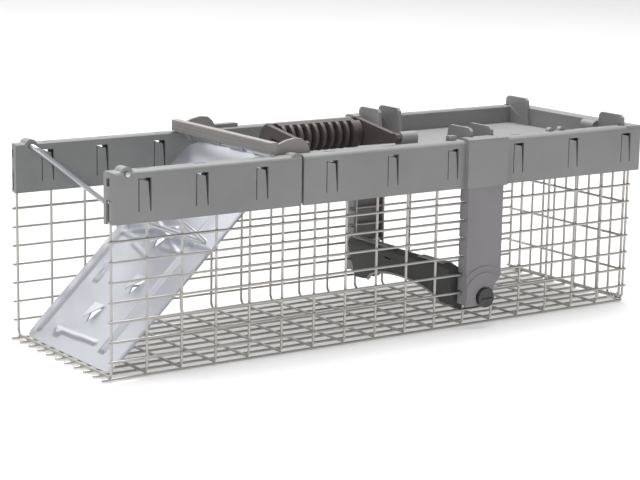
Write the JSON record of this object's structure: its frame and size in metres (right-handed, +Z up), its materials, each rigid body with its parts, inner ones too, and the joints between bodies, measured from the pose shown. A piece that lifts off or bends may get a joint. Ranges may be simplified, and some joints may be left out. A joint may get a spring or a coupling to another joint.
{
  "type": "live catch trap",
  "caption": "Wire cage trap with a moulded top, sloping gravity door, lock bail, set lever, trip treadle and folding carry handle.",
  "frame": {"origin": "middle of the footprint, on the surface that the floor wires rest on", "axes": "+X from the door end to the rear end, +Y to the far side, +Z up"},
  "size_m": [0.443, 0.1504, 0.145],
  "materials": {
    "zinc_wire": "galvanised welded wire, satin",
    "zinc_sheet": "galvanised sheet, satin with faint spangle",
    "bright_wire": "bright zinc-plated wire",
    "grey_plastic": "mid grey moulded plastic, fine texture",
    "lever_plastic": "light warm grey moulded plastic",
    "handle_plastic": "dark brown-grey moulded plastic",
    "treadle_plastic": "dark green-grey moulded plastic, slight gloss",
    "dark_plastic": "near-black moulded plastic"
  },
  "bodies": {
    "frame": {"floor_mesh": "zinc_wire", "near_side_mesh": "zinc_wire", "far_side_mesh": "zinc_wire", "rear_mesh": "zinc_wire", "near_corner_clip": "zinc_sheet", "far_corner_clip": "zinc_sheet", "near_front_rail": "grey_plastic", "far_front_rail": "grey_plastic", "top_frame": "grey_plastic", "near_column": "grey_plastic", "far_column": "grey_plastic", "rocker_pin": "bright_wire"},
    "door": {"door_panel": "zinc_sheet", "door_hinge_rod": "bright_wire", "set_lever": "lever_plastic"},
    "lock_bail": {"lock_bail": "bright_wire"},
    "handle": {"carry_handle": "handle_plastic"},
    "treadle": {"treadle": "treadle_plastic", "near_pivot_knob": "dark_plastic", "far_pivot_knob": "dark_plastic"},
    "trigger_link": {"trigger_link": "zinc_sheet"},
    "latch_rocker": {"latch_rocker": "zinc_sheet"},
    "latch_rod": {"latch_rod": "bright_wire"}
  },
  "joints": [
    {"name": "door_hinge", "type": "hinge", "parent": "frame", "child": "door", "pos_m": [-0.082, 0, 0.13], "axis": [0, 1, 0], "range_deg": [0, 42.5]},
    {"name": "bail_hinge", "type": "hinge", "parent": "frame", "child": "lock_bail", "pos_m": [-0.207, 0, 0.131], "axis": [0, -1, 0], "range_deg": [0, 98]},
    {"name": "handle_hinge", "type": "hinge", "parent": "frame", "child": "handle", "pos_m": [0, -0.053, 0.136], "axis": [1, 0, 0], "range_deg": [0, 95]},
    {"name": "treadle_hinge", "type": "hinge", "parent": "frame", "child": "treadle", "pos_m": [0.0762, 0, 0.0212], "axis": [0, 1, 0], "range_deg": [0, 10]},
    {"name": "link_slide", "type": "slide", "parent": "frame", "child": "trigger_link", "axis": [0, 0, 1], "range_m": [0, 0.0015]},
    {"name": "rocker_hinge", "type": "hinge", "parent": "frame", "child": "latch_rocker", "pos_m": [0.059, -0.0649, 0.121], "axis": [0, -1, 0], "range_deg": [0, 9]},
    {"name": "latch_slide", "type": "slide", "parent": "frame", "child": "latch_rod", "axis": [-1, 0, 0], "range_m": [0, 0.0012]}
  ],
  "couplings": [
    {"joint": "bail_hinge", "follows": "door_hinge", "ratio": 2.3},
    {"joint": "link_slide", "follows": "treadle_hinge", "m_per_rad": 0.008},
    {"joint": "rocker_hinge", "follows": "treadle_hinge", "ratio": 0.85},
    {"joint": "latch_slide", "follows": "treadle_hinge", "m_per_rad": 0.0065}
  ]
}
